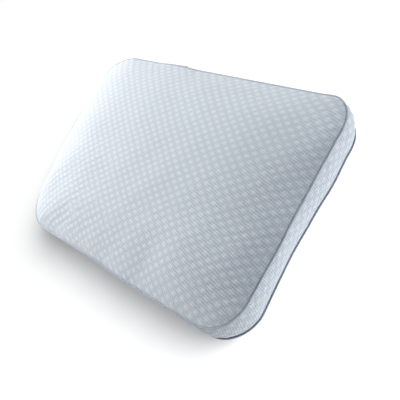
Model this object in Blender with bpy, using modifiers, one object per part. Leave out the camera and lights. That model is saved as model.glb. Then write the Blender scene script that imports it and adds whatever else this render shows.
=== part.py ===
"""Bed pillow: a moulded foam core in a sewn inner sleeve, inside a piped and gusseted knit cover with a zip.

The pillow lies flat. +X runs along its length, +Y points to the long side with the zip, and +Z is up.
The origin is the middle of the flat patch that the pillow rests on. Sizes are in metres.

Rings of the cover's outline are placed by their inset from the seam line: positive insets lie inside it,
negative ones outside it. Around the zip, "across" runs along Z from the zip's centre line, and "out"
runs along Y from the outer face of its tapes.
"""

import math

import bmesh
import bpy

# Cover, measured on the seam lines
LENGTH = 0.604
WIDTH = 0.404
CORNER_RADIUS = 0.062
GUSSET_HEIGHT = 0.050
GUSSET_BULGE = 0.004
TOP_CROWN = 0.037
BOTTOM_CROWN = 0.033
TOP_PATCH_WIDTH = 0.104
REST_PATCH_WIDTH = 0.144
RIM_RISE = 0.003
CORNER_GROWTH = 0.4

# Layers
FABRIC = 0.0020
SLEEVE = 0.0006
GAP = 0.0003

# Piping
CORD_RADIUS = 0.0008
WRAP = 0.0005
LEAF_GAP = 0.0004
SEAM_ALLOWANCE = 0.0070

# Zip
STRIP_MARGIN = 0.010
STOP_MARGIN = 0.025
HEM_CLEARANCE = 0.0006
TAPE_WIDTH = 0.0130
TAPE_THICKNESS = 0.0006
TAPE_UNDERLAP = 0.006
STITCH_MARGIN = 0.0015
CENTRE_SLOT = 0.0012
COIL_PITCH = 0.005
COIL_TOOTH = 0.0022
COIL_REACH = 0.0014
COIL_SPINE = 0.0010
COIL_HEIGHT = 0.0020
STOP_LENGTH = 0.003
STOP_BEVEL = 0.0003

# Slider and pull
SLIDER_LENGTH = 0.012
SLIDER_FLARE = 0.0005
SLIDER_ROUNDING = 0.0020
RIM = 0.0008
PLATE = 0.0012
WEB = 0.0006
WEB_LENGTH = 0.0030
BRIDGE_LENGTH = 0.0084
BRIDGE_HEIGHT = 0.0034
BRIDGE_BAR = 0.0010
BRIDGE_CHAMFER = 0.0016
BRIDGE_WIDTH = 0.0016
PULL_LENGTH = 0.026
PULL_WIDTH = 0.0064
PULL_THICKNESS = 0.0012
PULL_WINDOW_WIDTH = 0.0034

# Care label
LABEL_X = -0.100
LABEL_WIDTH = 0.025
LABEL_THICKNESS = 0.0006
LABEL_REACH = 0.0070
LABEL_DROP = 0.0130

# Heights of the seams
BACK_SEAM = BOTTOM_CROWN
FRONT_SEAM = BACK_SEAM + GUSSET_HEIGHT
MIDDLE = (BACK_SEAM + FRONT_SEAM) / 2
TOP = FRONT_SEAM + TOP_CROWN

# Panels and piping, from the sizes above
TOP_SLOPE = (WIDTH - TOP_PATCH_WIDTH) / 2
BOTTOM_SLOPE = (WIDTH - REST_PATCH_WIDTH) / 2
LEAF_HALF = LEAF_GAP / 2 + WRAP
SEAM_STEP = LEAF_HALF + GAP
WRAP_INNER = CORD_RADIUS + GAP
WRAP_OUTER = WRAP_INNER + WRAP

# Zip, from the sizes above
STRIP_LENGTH = LENGTH - 2 * (CORNER_RADIUS + STRIP_MARGIN)
ZIP_LENGTH = STRIP_LENGTH - 2 * STOP_MARGIN
COIL_BACK = CENTRE_SLOT / 2 + COIL_REACH + COIL_SPINE
TAIL_HALF = COIL_BACK + GAP + RIM
NOSE_HALF = TAIL_HALF + SLIDER_FLARE
HEM = NOSE_HALF + HEM_CLEARANCE
SHOULDER = CENTRE_SLOT / 2 + TAPE_WIDTH + STITCH_MARGIN
SHOULDER_DROP = GUSSET_BULGE / 4
SIDE_SLOPE = (GUSSET_BULGE - SHOULDER_DROP) / (GUSSET_HEIGHT / 2 - SEAM_STEP - SHOULDER)
TAPE_FACE = WIDTH / 2 + GUSSET_BULGE - FABRIC - SHOULDER_DROP - GAP
PLATE_OUT = GAP + COIL_HEIGHT + GAP
PLATE_IN = -TAPE_THICKNESS - GAP
FILLING_INSET = WIDTH / 2 - (TAPE_FACE + PLATE_IN - PLATE - GAP)
BRIDGE_BASE = PLATE_OUT + PLATE
PULL_AXIS = BRIDGE_BASE + GAP + PULL_THICKNESS / 2
SLIDER_X = -ZIP_LENGTH / 2 + SLIDER_LENGTH / 2 + GAP

CORNER_STEPS = 6
CROWN_STEPS = 7
ROUND_STEPS = 6


def clear_scene():
    for obj in list(bpy.data.objects):
        bpy.data.objects.remove(obj, do_unlink=True)


def make_collection(name):
    collection = bpy.data.collections.new(name)
    bpy.context.scene.collection.children.link(collection)
    return collection


def material(name, colour, roughness, metallic=0.0):
    made = bpy.data.materials.new(name)
    made.use_nodes = True
    shader = made.node_tree.nodes["Principled BSDF"]
    shader.inputs["Base Color"].default_value = (*colour, 1.0)
    shader.inputs["Roughness"].default_value = roughness
    shader.inputs["Metallic"].default_value = metallic
    return made


def add_object(name, data, collection, surface=None):
    obj = bpy.data.objects.new(name, data)
    collection.objects.link(obj)
    if surface is not None:
        data.materials.append(surface)
    return obj


# Outline of the cover


def corner_centres(inset, radius):
    """Arc centres of the four corners with their first angles, counter-clockwise from +X +Y."""
    x = LENGTH / 2 - inset - radius
    y = WIDTH / 2 - inset - radius
    return ((x, y, 0), (-x, y, 90), (-x, -y, 180), (x, -y, 270))


def corner_radius(inset, parallel):
    """Parallel rings keep their distance to the seam line; crown rings grow rounder towards the middle."""
    if inset < 0 or parallel:
        return CORNER_RADIUS - inset
    return min(CORNER_RADIUS + CORNER_GROWTH * inset, WIDTH / 2 - inset)


def corner_arc(centre_x, centre_y, first_angle, radius):
    points = []
    for step in range(CORNER_STEPS + 1):
        angle = math.radians(first_angle + 90 * step / CORNER_STEPS)
        points.append((centre_x + radius * math.cos(angle), centre_y + radius * math.sin(angle)))
    return points


def ring(inset, height, parallel=False):
    """A closed ring of the outline at that inset and height, counter-clockwise from above."""
    radius = corner_radius(inset, parallel)
    points = []
    for centre in corner_centres(inset, radius):
        points += [(x, y, height) for x, y in corner_arc(*centre, radius)]
    return points


def band_row(inset, height):
    """The outline without the zipped stretch: from the zip's left end round to its right end."""
    radius = corner_radius(inset, True)
    right_back, left_back, left_front, right_front = corner_centres(inset, radius)
    end_x = STRIP_LENGTH / 2 + GAP
    points = [(-end_x, WIDTH / 2 - inset, height)]
    for centre in (left_back, left_front, right_front, right_back):
        points += [(x, y, height) for x, y in corner_arc(*centre, radius)]
    return points + [(end_x, WIDTH / 2 - inset, height)]


# Meshes


def loft(name, rows, around=True, cap_first=False, cap_last=False, closed_section=False):
    """Faces between rows of equally many points. Caps are flat faces that fill the first or last ring."""
    bm = bmesh.new()
    made = [[bm.verts.new(point) for point in row] for row in rows]
    pairs = list(zip(made, made[1:]))
    if closed_section:
        pairs.append((made[-1], made[0]))
    for low, high in pairs:
        count = len(low)
        for i in range(count if around else count - 1):
            j = (i + 1) % count
            bm.faces.new((low[i], low[j], high[j], high[i]))
    if cap_first:
        bm.faces.new(reversed(made[0]))
    if cap_last:
        bm.faces.new(made[-1])
    mesh = bpy.data.meshes.new(name)
    bm.to_mesh(mesh)
    bm.free()
    mesh.shade_smooth()
    mesh.set_sharp_from_angle(angle=math.radians(35))
    return mesh


def add_thickness(obj, thickness):
    """Gives an open surface its thickness on the inner side."""
    solidify = obj.modifiers.new("thickness", "SOLIDIFY")
    solidify.thickness = thickness
    solidify.offset = -1
    solidify.use_even_offset = True


def add_bevel(obj, width, segments=1):
    bevel = obj.modifiers.new("edges", "BEVEL")
    bevel.width = width
    bevel.segments = segments
    bevel.limit_method = "ANGLE"


def box(name, low, high, collection, surface=None):
    """A box between two corners."""
    centre = [(a + b) / 2 for a, b in zip(low, high)]
    size = [b - a for a, b in zip(low, high)]
    mesh = bpy.data.meshes.new(name)
    bm = bmesh.new()
    bmesh.ops.create_cube(bm, size=1)
    bmesh.ops.scale(bm, vec=size, verts=bm.verts)
    bm.to_mesh(mesh)
    bm.free()
    obj = add_object(name, mesh, collection, surface)
    obj.location = centre
    return obj


def flat_outline(name, outlines, thickness, collection, surface=None):
    """A plate cut to the first outline, with the others as holes, lying in its own XY plane."""
    curve = bpy.data.curves.new(name, "CURVE")
    curve.dimensions = "2D"
    curve.fill_mode = "BOTH"
    curve.extrude = thickness / 2
    for outline in outlines:
        spline = curve.splines.new("POLY")
        spline.points.add(len(outline) - 1)
        for point, (x, y) in zip(spline.points, outline):
            point.co = (x, y, 0, 1)
        spline.use_cyclic_u = True
    drawn = add_object(name, curve, collection)
    bpy.context.view_layer.update()
    graph = bpy.context.evaluated_depsgraph_get()
    mesh = bpy.data.meshes.new_from_object(drawn.evaluated_get(graph))
    bpy.data.objects.remove(drawn)
    bm = bmesh.new()
    bm.from_mesh(mesh)
    bmesh.ops.remove_doubles(bm, verts=bm.verts, dist=0.00001)
    bmesh.ops.recalc_face_normals(bm, faces=bm.faces)
    bm.to_mesh(mesh)
    bm.free()
    return add_object(name, mesh, collection, surface)


def join(target, others):
    """Adds the other solids to the target with Boolean unions."""
    for other in others:
        union = target.modifiers.new(other.name, "BOOLEAN")
        union.operation = "UNION"
        union.object = other
        other.hide_render = True
        other.display_type = "WIRE"


def carry(obj, empty):
    """Parents an object to the empty where it stands."""
    bpy.context.view_layer.update()
    obj.parent = empty
    obj.matrix_parent_inverse = empty.matrix_world.inverted()


# Sections


def crown_section(height, slope, depth=0.0, start=0.0):
    """(inset, height above the seam) from the rim to the flat patch, on a quarter ellipse.

    The section lies that depth below the panel's outer face, square to it. Points whose inset on the
    outer face is under start are left out.
    """
    points = []
    for step in range(CROWN_STEPS + 1):
        angle = math.radians(90) * (step / CROWN_STEPS) ** 1.25
        inset = slope * (1 - math.cos(angle))
        if inset < start:
            continue
        rise = RIM_RISE + (height - RIM_RISE) * math.sin(angle)
        normal_in = math.cos(angle) * (height - RIM_RISE)
        normal_down = math.sin(angle) * slope
        length = math.hypot(normal_in, normal_down)
        points.append((inset + depth * normal_in / length, rise - depth * normal_down / length))
    return points


def side_section(cover_offset):
    """(inset, height from the middle) of the upper half of the filling's side.

    It steps back from the seam allowances, which point inwards at the seam.
    """
    inset = FILLING_INSET + cover_offset
    allowance = SEAM_ALLOWANCE + GAP + SLEEVE + cover_offset
    seam = GUSSET_HEIGHT / 2
    return [
        (inset, 0.0),
        (inset, seam - SEAM_ALLOWANCE - cover_offset / 2),
        (allowance, seam - 2 * SEAM_STEP - cover_offset),
        (allowance, seam + RIM_RISE - cover_offset / 2),
    ]


def filling_section(cover_offset, crown, slope):
    """(inset, height from the middle) from the filling's middle line up to its flat patch."""
    past_allowance = SEAM_ALLOWANCE + 2 * (SLEEVE + GAP)
    upper = crown_section(crown, slope, FABRIC + GAP + cover_offset, past_allowance)
    return side_section(cover_offset) + [(inset, GUSSET_HEIGHT / 2 + rise) for inset, rise in upper]


def gusset_section(low, high):
    """(inset, height from the middle) of the gusset's outer face, bulged between the seams."""
    upper = [
        (-GUSSET_BULGE, HEM),
        (-GUSSET_BULGE + SHOULDER_DROP, SHOULDER),
        (0.0, GUSSET_HEIGHT / 2 - SEAM_STEP),
    ]
    lower = [(inset, -height) for inset, height in reversed(upper)]
    return [(inset, height) for inset, height in lower + upper if low <= height <= high]


def piping_section():
    """(inset, height from the seam) around a keyhole: a tube round the cord, two leaves going inwards."""
    centre = -(WRAP_OUTER + GAP)
    open_angle = math.asin(LEAF_HALF / WRAP_OUTER)
    slit_angle = math.asin(LEAF_GAP / 2 / WRAP_INNER)
    points = [(SEAM_ALLOWANCE, -LEAF_HALF)]
    for step in range(ROUND_STEPS + 1):
        angle = -math.pi + open_angle + (2 * math.pi - 2 * open_angle) * step / ROUND_STEPS
        points.append((centre - WRAP_OUTER * math.cos(angle), WRAP_OUTER * math.sin(angle)))
    points += [(SEAM_ALLOWANCE, LEAF_HALF), (SEAM_ALLOWANCE, LEAF_GAP / 2)]
    for step in range(ROUND_STEPS + 1):
        angle = math.pi - slit_angle - (2 * math.pi - 2 * slit_angle) * step / ROUND_STEPS
        points.append((centre - WRAP_INNER * math.cos(angle), WRAP_INNER * math.sin(angle)))
    points.append((SEAM_ALLOWANCE, -LEAF_GAP / 2))
    return points


# Filling


def foam_core(parts, surface):
    offset = SLEEVE + GAP
    lower = filling_section(offset, BOTTOM_CROWN, BOTTOM_SLOPE)
    upper = filling_section(offset, TOP_CROWN, TOP_SLOPE)
    rows = [ring(inset, MIDDLE - height) for inset, height in reversed(lower)]
    rows += [ring(inset, MIDDLE + height) for inset, height in upper[1:]]
    return add_object("foam_core", loft("foam_core", rows, cap_first=True, cap_last=True), parts, surface)


def inner_sleeve(parts, surface):
    """Two thin panels round the foam, sewn to each other half way up its side."""
    upper = filling_section(0, TOP_CROWN, TOP_SLOPE)
    top = [ring(inset, MIDDLE + max(height, GAP / 2)) for inset, height in upper]
    top_mesh = loft("inner_sleeve_top", top, cap_last=True)
    add_thickness(add_object("inner_sleeve_top", top_mesh, parts, surface), SLEEVE)
    lower = reversed(filling_section(0, BOTTOM_CROWN, BOTTOM_SLOPE))
    bottom = [ring(inset, MIDDLE - max(height, GAP / 2)) for inset, height in lower]
    bottom_mesh = loft("inner_sleeve_bottom", bottom, cap_first=True)
    add_thickness(add_object("inner_sleeve_bottom", bottom_mesh, parts, surface), SLEEVE)


# Cover


def cover_panels(parts, surface):
    rim = [(0.0, SEAM_STEP)]
    rows = [ring(inset, FRONT_SEAM + rise) for inset, rise in rim + crown_section(TOP_CROWN, TOP_SLOPE)]
    front = add_object("front_panel", loft("front_panel", rows, cap_last=True), parts, surface)
    add_thickness(front, FABRIC)
    section = reversed(rim + crown_section(BOTTOM_CROWN, BOTTOM_SLOPE))
    rows = [ring(inset, BACK_SEAM - rise) for inset, rise in section]
    back = add_object("back_panel", loft("back_panel", rows, cap_first=True), parts, surface)
    add_thickness(back, FABRIC)


def gusset_band(parts, surface):
    """The side wall round both short sides and the long side without the zip."""
    rows = [band_row(inset, MIDDLE + height) for inset, height in gusset_section(-1, 1)]
    band = add_object("gusset_band", loft("gusset_band", rows, around=False), parts, surface)
    add_thickness(band, FABRIC)


def zip_strips(parts, surface):
    """The two halves of the side wall beside the zip."""
    half = STRIP_LENGTH / 2
    for name, low, high in (("zip_strip_front", 0, 1), ("zip_strip_back", -1, 0)):
        section = gusset_section(low, high)
        rows = [
            [(half, WIDTH / 2 - inset, MIDDLE + height), (-half, WIDTH / 2 - inset, MIDDLE + height)]
            for inset, height in section
        ]
        strip = add_object(name, loft(name, rows, around=False), parts, surface)
        add_thickness(strip, FABRIC)


def piping(parts, seam_name, seam, wrap_surface, cord_surface):
    """A cord in a folded strip of fabric, whose leaves are sewn between the panel and the gusset."""
    rows = [ring(inset, seam + height, parallel=True) for inset, height in piping_section()]
    mesh = loft(f"{seam_name}_piping_wrap", rows, closed_section=True)
    add_object(mesh.name, mesh, parts, wrap_surface)
    curve = bpy.data.curves.new(f"{seam_name}_piping_cord", "CURVE")
    curve.dimensions = "3D"
    curve.bevel_depth = CORD_RADIUS
    curve.bevel_resolution = 1
    points = ring(-(WRAP_OUTER + GAP), seam)
    spline = curve.splines.new("POLY")
    spline.points.add(len(points) - 1)
    for point, place in zip(spline.points, points):
        point.co = (*place, 1)
    spline.use_cyclic_u = True
    add_object(curve.name, curve, parts, cord_surface)


def care_label(parts, surface):
    """A blank folded label that comes out under the front piping and bends down."""
    start_z = FRONT_SEAM - WRAP_OUTER - GAP
    below_seam = WRAP_OUTER + GAP + LABEL_THICKNESS + GAP - SEAM_STEP
    root_y = WIDTH / 2 + GAP + below_seam * SIDE_SLOPE
    bend = LABEL_REACH / 2
    rows = []
    for step in range(ROUND_STEPS + 1):
        angle = math.radians(90) * step / ROUND_STEPS
        y = root_y + LABEL_REACH - bend + bend * math.sin(angle)
        z = start_z - bend + bend * math.cos(angle)
        rows.append((y, z))
    profile = [(root_y, start_z), *rows, (root_y + LABEL_REACH, start_z - LABEL_DROP)]
    left = LABEL_X - LABEL_WIDTH / 2
    right = LABEL_X + LABEL_WIDTH / 2
    mesh = loft("care_label", [[(left, y, z), (right, y, z)] for y, z in profile], around=False)
    add_thickness(add_object("care_label", mesh, parts, surface), LABEL_THICKNESS)


# Zip


def on_zip(along, across, out):
    """World position of a place on the zip."""
    return (along, TAPE_FACE + out, MIDDLE + across)


def zip_box(name, along, across, out, parts, surface=None):
    """A box on the zip from its (low, high) ranges along, across and out."""
    low = on_zip(along[0], across[0], out[0])
    high = on_zip(along[1], across[1], out[1])
    return box(name, low, high, parts, surface)


def zip_tapes(parts, surface):
    half = STRIP_LENGTH / 2 + TAPE_UNDERLAP
    edge = CENTRE_SLOT / 2
    for name, side in (("zip_tape_front", 1), ("zip_tape_back", -1)):
        across = sorted((side * edge, side * (edge + TAPE_WIDTH)))
        zip_box(name, (-half, half), across, (-TAPE_THICKNESS, 0), parts, surface)


def coil_outline(side, phase):
    """Outline of one coil: a spine with a row of teeth that reach for the centre line."""
    tip = CENTRE_SLOT / 2
    root = tip + COIL_REACH
    start = -ZIP_LENGTH / 2 + GAP
    end = ZIP_LENGTH / 2 - GAP
    points = [(start, side * COIL_BACK), (start, side * root)]
    first = start + phase * COIL_PITCH + GAP
    for number in range(int((end - first) / COIL_PITCH)):
        left = first + number * COIL_PITCH
        right = left + COIL_TOOTH
        points += [(left, side * root), (left, side * tip), (right, side * tip), (right, side * root)]
    return points + [(end, side * root), (end, side * COIL_BACK)]


def zip_coils(parts, surface):
    for name, side, phase in (("zip_coil_front", 1, 0.0), ("zip_coil_back", -1, 0.5)):
        coil = flat_outline(name, [coil_outline(side, phase)], COIL_HEIGHT, parts, surface)
        coil.rotation_euler = (math.radians(90), 0, 0)
        coil.location = on_zip(0, 0, GAP + COIL_HEIGHT / 2)


def zip_stops(parts, surface):
    out = (GAP, GAP + COIL_HEIGHT)
    end = ZIP_LENGTH / 2
    for name, side in (("zip_top_stop_front", 1), ("zip_top_stop_back", -1)):
        across = sorted((side * CENTRE_SLOT / 2, side * COIL_BACK))
        stop = zip_box(name, (-end - STOP_LENGTH, -end), across, out, parts, surface)
        add_bevel(stop, STOP_BEVEL)
    across = (-COIL_BACK, COIL_BACK)
    add_bevel(zip_box("zip_bottom_stop", (end, end + STOP_LENGTH), across, out, parts, surface), STOP_BEVEL)


def slider_outline():
    """Outline of a slider plate: wide at the nose, which leads towards -X, and narrow at the tail."""
    half = SLIDER_LENGTH / 2
    upper = [
        (half, TAIL_HALF - SLIDER_ROUNDING),
        (half - SLIDER_ROUNDING, TAIL_HALF),
        (0, NOSE_HALF),
        (-half + SLIDER_ROUNDING, NOSE_HALF),
        (-half, NOSE_HALF - SLIDER_ROUNDING),
    ]
    return upper + [(x, -y) for x, y in reversed(upper)]


def bridge_outline():
    """Side view of the bridge: an arch with a straight top over the slider's outer plate."""

    def arch(half, top, foot, chamfer):
        right = [(half, foot), (half, top - chamfer), (half - chamfer, top)]
        return right + [(-x, y) for x, y in reversed(right)]

    half = BRIDGE_LENGTH / 2
    outer = arch(half, BRIDGE_HEIGHT, -PLATE / 2, BRIDGE_CHAMFER)
    hole = arch(half - BRIDGE_BAR, BRIDGE_HEIGHT - BRIDGE_BAR, 0, BRIDGE_CHAMFER / 2)
    return outer, hole


def zip_slider(parts, cutters, surface, empty):
    """Two plates joined by a web that runs between the coils, rims down to the tapes, and a bridge."""
    outline = slider_outline()
    outer_plate = flat_outline("zip_slider", [outline], PLATE, parts, surface)
    inner_plate = flat_outline("slider_inner_plate", [outline], PLATE, cutters)
    for plate, out in ((outer_plate, PLATE_OUT + PLATE / 2), (inner_plate, PLATE_IN - PLATE / 2)):
        plate.rotation_euler = (math.radians(90), 0, 0)
        plate.location = on_zip(SLIDER_X, 0, out)
    web_end = SLIDER_X - SLIDER_LENGTH / 2 + WEB_LENGTH
    web = zip_box(
        "slider_web",
        (web_end - WEB_LENGTH + PLATE / 2, web_end),
        (-WEB / 2, WEB / 2),
        (PLATE_IN - PLATE / 2, PLATE_OUT + PLATE / 2),
        cutters,
    )
    rim_along = (SLIDER_X - 0.3 * SLIDER_LENGTH, SLIDER_X + 0.3 * SLIDER_LENGTH)
    rims = []
    for name, side in (("slider_rim_front", 1), ("slider_rim_back", -1)):
        across = sorted((side * (COIL_BACK + GAP), side * TAIL_HALF))
        rims.append(zip_box(name, rim_along, across, (GAP, PLATE_OUT + PLATE / 2), cutters))
    bridge = flat_outline("slider_bridge", bridge_outline(), BRIDGE_WIDTH, cutters)
    bridge.location = on_zip(SLIDER_X, 0, BRIDGE_BASE)
    join(outer_plate, [inner_plate, web, *rims, bridge])
    carry(outer_plate, empty)


def pull_outlines():
    """The pull lies along +X from its hinge. Its window goes round the bridge, over its end bar."""
    bar = PULL_THICKNESS / 2
    half = PULL_WIDTH / 2
    window_end = BRIDGE_LENGTH / 2 + 2 * GAP
    neck = window_end + 2 * PULL_THICKNESS
    waist = 0.7 * half
    tip = PULL_LENGTH - half
    outer = [(-bar, -half), (window_end, -half), (neck, -waist), (tip, -half)]
    for step in range(1, ROUND_STEPS):
        angle = math.radians(-90 + 180 * step / ROUND_STEPS)
        outer.append((tip + half * math.cos(angle), half * math.sin(angle)))
    outer += [(tip, half), (neck, waist), (window_end, half), (-bar, half)]
    window_half = PULL_WINDOW_WIDTH / 2
    window = [(bar, -window_half), (window_end, -window_half), (window_end, window_half), (bar, window_half)]
    return outer, window


def zip_pull(parts, surface, empty):
    pull = flat_outline("zip_pull", pull_outlines(), PULL_THICKNESS, parts, surface)
    pull.rotation_euler = (math.radians(90), 0, 0)
    pull.location = on_zip(SLIDER_X, 0, PULL_AXIS)
    carry(pull, empty)


def main():
    clear_scene()
    parts = make_collection("bed_pillow")
    cutters = make_collection("cutters")
    knit = material("knit", (0.72, 0.78, 0.86), 0.85)
    piping_fabric = material("piping_fabric", (0.40, 0.44, 0.50), 0.7)
    cotton_cord = material("cotton_cord", (0.85, 0.85, 0.83), 0.9)
    foam = material("foam", (0.93, 0.92, 0.86), 0.9)
    tricot = material("tricot", (0.92, 0.93, 0.95), 0.8)
    tape = material("zip_tape", (0.82, 0.85, 0.90), 0.8)
    coil = material("zip_coil", (0.80, 0.83, 0.88), 0.4)
    metal = material("zip_metal", (0.62, 0.64, 0.67), 0.3, 1.0)
    satin = material("label_satin", (0.94, 0.94, 0.94), 0.5)

    foam_core(parts, foam)
    inner_sleeve(parts, tricot)
    cover_panels(parts, knit)
    gusset_band(parts, knit)
    zip_strips(parts, knit)
    piping(parts, "front", FRONT_SEAM, piping_fabric, cotton_cord)
    piping(parts, "back", BACK_SEAM, piping_fabric, cotton_cord)
    care_label(parts, satin)
    zip_tapes(parts, tape)
    zip_coils(parts, coil)
    zip_stops(parts, metal)

    slider_empty = add_object("slider_axis", None, parts)
    slider_empty.location = on_zip(SLIDER_X, 0, PULL_AXIS)
    zip_slider(parts, cutters, metal, slider_empty)
    zip_pull(parts, metal, slider_empty)


main()
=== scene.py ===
"""Looks of the bed pillow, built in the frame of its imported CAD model. Sizes are in metres.

The cover is worked out on grids. A panel's grid covers its rounded rectangle, and the gusset's grid runs
round the outline, where a station is the distance from the middle of the zipped side, counter-clockwise
from above. A cloth simulation inflates the panels of a coarse copy of the cover, and the fine panels and
the filling follow them.
"""

import math

import bmesh
import bpy
import numpy as np
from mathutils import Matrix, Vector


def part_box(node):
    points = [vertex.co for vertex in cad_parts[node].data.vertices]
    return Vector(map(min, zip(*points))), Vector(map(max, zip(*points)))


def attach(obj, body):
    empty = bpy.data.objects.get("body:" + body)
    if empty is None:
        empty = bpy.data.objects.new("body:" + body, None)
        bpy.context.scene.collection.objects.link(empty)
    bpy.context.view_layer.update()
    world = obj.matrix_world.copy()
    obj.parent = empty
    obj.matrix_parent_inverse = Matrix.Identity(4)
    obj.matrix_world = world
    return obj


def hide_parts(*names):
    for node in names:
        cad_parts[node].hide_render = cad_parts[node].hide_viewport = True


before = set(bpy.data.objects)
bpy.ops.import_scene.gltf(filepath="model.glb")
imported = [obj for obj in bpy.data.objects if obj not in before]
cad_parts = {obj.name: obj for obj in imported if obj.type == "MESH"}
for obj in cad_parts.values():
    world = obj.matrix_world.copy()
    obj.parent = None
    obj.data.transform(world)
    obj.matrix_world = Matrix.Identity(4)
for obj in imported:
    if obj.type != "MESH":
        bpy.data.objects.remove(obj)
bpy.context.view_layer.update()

# Cover, from the frame
HALF_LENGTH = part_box("front_panel")[1].x
HALF_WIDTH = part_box("front_panel")[1].y
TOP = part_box("front_panel")[1].z
FRONT_SEAM = sum(corner.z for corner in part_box("front_piping_wrap")) / 2
BACK_SEAM = sum(corner.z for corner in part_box("back_piping_wrap")) / 2
MIDDLE = (FRONT_SEAM + BACK_SEAM) / 2
GUSSET_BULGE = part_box("gusset_band")[1].x - HALF_LENGTH
GUSSET_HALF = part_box("gusset_band")[1].z - MIDDLE
STRIP_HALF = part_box("zip_strip_front")[1].x
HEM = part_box("zip_strip_front")[0].z - MIDDLE

# Cover, not given by the frame
CORNER_RADIUS = 0.062
CORNER_GROWTH = 0.4
LEFT_SLOPE = 0.135
RIGHT_SLOPE = 0.160
LEFT_POWER = 0.80
RIGHT_POWER = 0.90
DOME = 0.10
SUMMIT = -0.04
PLUMP = 0.007
BOTTOM_SLOPE = 0.130
BACK_POWER = 0.72
SEAM_STEP = 0.0010
FABRIC = 0.0012
SEAM_GAP = 0.0003
HEM_RISE = 0.0005
HEM_WIDTH = 0.0050

# Settled shape. Pulls: their centre, how far they reach each way, and the move at the centre
PULLS = {
    "left_side_bows": ((-0.330, 0.085, 0.070), (0.150, 0.150, 0.200), (-0.015, 0.0, 0.0)),
    "lower_left_corner_tucks_in": ((-0.310, -0.210, 0.060), (0.120, 0.150, 0.200), (0.016, 0.006, 0.0)),
    "upper_right_corner_points": ((0.292, 0.192, 0.100), (0.070, 0.060, 0.060), (0.005, 0.007, 0.0)),
    "upper_right_gusset_bulges": ((0.295, 0.190, 0.058), (0.060, 0.060, 0.035), (0.003, 0.004, 0.0)),
    "front_side_bows": ((0.120, -0.220, 0.070), (0.200, 0.120, 0.080), (0.0, -0.005, 0.0)),
    "lower_right_corner_drops": ((0.270, -0.200, 0.030), (0.110, 0.100, 0.045), (-0.003, -0.005, 0.0)),
    "right_back_seam_tucks_in": ((0.310, -0.040, 0.028), (0.090, 0.110, 0.050), (-0.005, 0.0, 0.001)),
    "low_right_crown_swells": ((0.205, -0.135, 0.118), (0.105, 0.100, 0.050), (0.0, 0.0, 0.0065)),
    "label_lifts_seam": ((-0.105, 0.206, 0.088), (0.065, 0.050, 0.014), (0.0, 0.0, 0.0050)),
}
ZIP_SIDE_PULLS = ("label_lifts_seam",)
ZIP_SIDE = (0.15, 0.19)
ZIP_ENDS = (0.235, 0.27)
PULL_POWER = 1.5
WAVER = 0.0008
WAVER_LENGTH = 0.09

# Piping, measured out from the seam line
CORD_OUT = 0.0019
CORD_RADIUS = 0.00075
CORD_TWIST = 0.006
CORD_LOBE = 0.14
WRAP_OUTER = 0.0012
LEAF = 0.0004
LEAF_LENGTH = 0.0060

# Knit
LATTICE_LENGTH = 0.0205
LATTICE_WIDTH = 0.0164
PUFF_HEIGHT = 0.0010
PUFF_POWER = 1.7
FINE_PITCH = 0.0020
SEAM_PITCH = 0.0006
SEAM_FADE = 0.009
DRIFT = 0.0016
DRIFT_LENGTH = 0.045
FULLNESS_CHANGE = 0.35
FULLNESS_LENGTH = 0.030
COURSE_PITCH = 0.0044
WALE_PITCH = 0.0040
LOOP_WIDTH = 0.0016
LOOP_HEIGHT = 0.0011

# Cloth simulation on a coarse copy of the cover
COARSE_PITCH = 0.008
COARSE_ROWS = 7
START_CROWN = 0.96
PRESSURE = 1.5
FRAMES = 20
MOVE_CAP = 0.006

# Filling: how far its parts lie inside the cover, and its straight side
SLEEVE_DEPTH = 0.0018
SLEEVE_INSET = 0.0032
SLEEVE = 0.0005
FOAM_DEPTH = 0.0027
FOAM_INSET = 0.0042
WALL_HALF = 0.016
FILLING_PITCH = 0.005

# Zip, stitches and label
COIL_PITCH = 0.0013
FILAMENT = 0.00028
TIP_GAP = 0.00033
TAPE_RIB = 0.00012
METAL_ROUNDING = 0.0003
STITCH_RISE = 0.00045
THREAD_RADIUS = 0.00019
STITCH_SPACING = 0.0032
STITCH_END = 0.004
LABEL_LAYER = 0.0003
LABEL_CURL = 0.0004
LABEL_STITCH_SPACING = 0.0024
LABEL_STITCH_END = 0.002

# Studio. Lamps: compass angle from +X towards +Y, angle above the floor, distance, width, power and colour
FLOOR_SIZE = 40
FLOOR_LEVEL = -0.0004
FLOOR_GLOW = 0.22
HORIZON = 0.40
NEUTRAL = (1.0, 1.0, 1.0)
COOL = (0.82, 0.90, 1.0)
FLOOR_LIGHTS = {
    "floor_key": (30, 40, 10.0, 9.0, 1950.0, NEUTRAL),
}
LIGHTS = {
    "left": (180, 35, 2.0, 1.1, 57.0, NEUTRAL),
    "left_high": (180, 65, 2.0, 1.1, 8.5, NEUTRAL),
    "back_right": (45, 35, 2.0, 1.1, 6.2, COOL),
    "back_right_low": (45, 10, 2.0, 0.69, 6.0, NEUTRAL),
    "front_low": (270, 10, 2.0, 0.69, 1.5, COOL),
    "right_low": (0, 10, 2.0, 0.69, 6.2, COOL),
}


# Outline of the cover


def dense_outline():
    """Points, outward normals and stations of the seam line, close together."""
    x = HALF_LENGTH - CORNER_RADIUS
    y = HALF_WIDTH - CORNER_RADIUS
    angles = np.radians(np.linspace(0, 90, 181))
    points = [(0.0, HALF_WIDTH)]
    normals = [(0.0, 1.0)]
    for centre_x, centre_y, first in ((-x, y, 90), (-x, -y, 180), (x, -y, 270), (x, y, 0)):
        for angle in angles + math.radians(first):
            normal = (math.cos(angle), math.sin(angle))
            points.append((centre_x + CORNER_RADIUS * normal[0], centre_y + CORNER_RADIUS * normal[1]))
            normals.append(normal)
    points.append(points[0])
    normals.append(normals[0])
    points = np.array(points)
    steps = np.linalg.norm(np.diff(points, axis=0), axis=1)
    return points, np.array(normals), np.concatenate([[0.0], np.cumsum(steps)])


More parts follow.
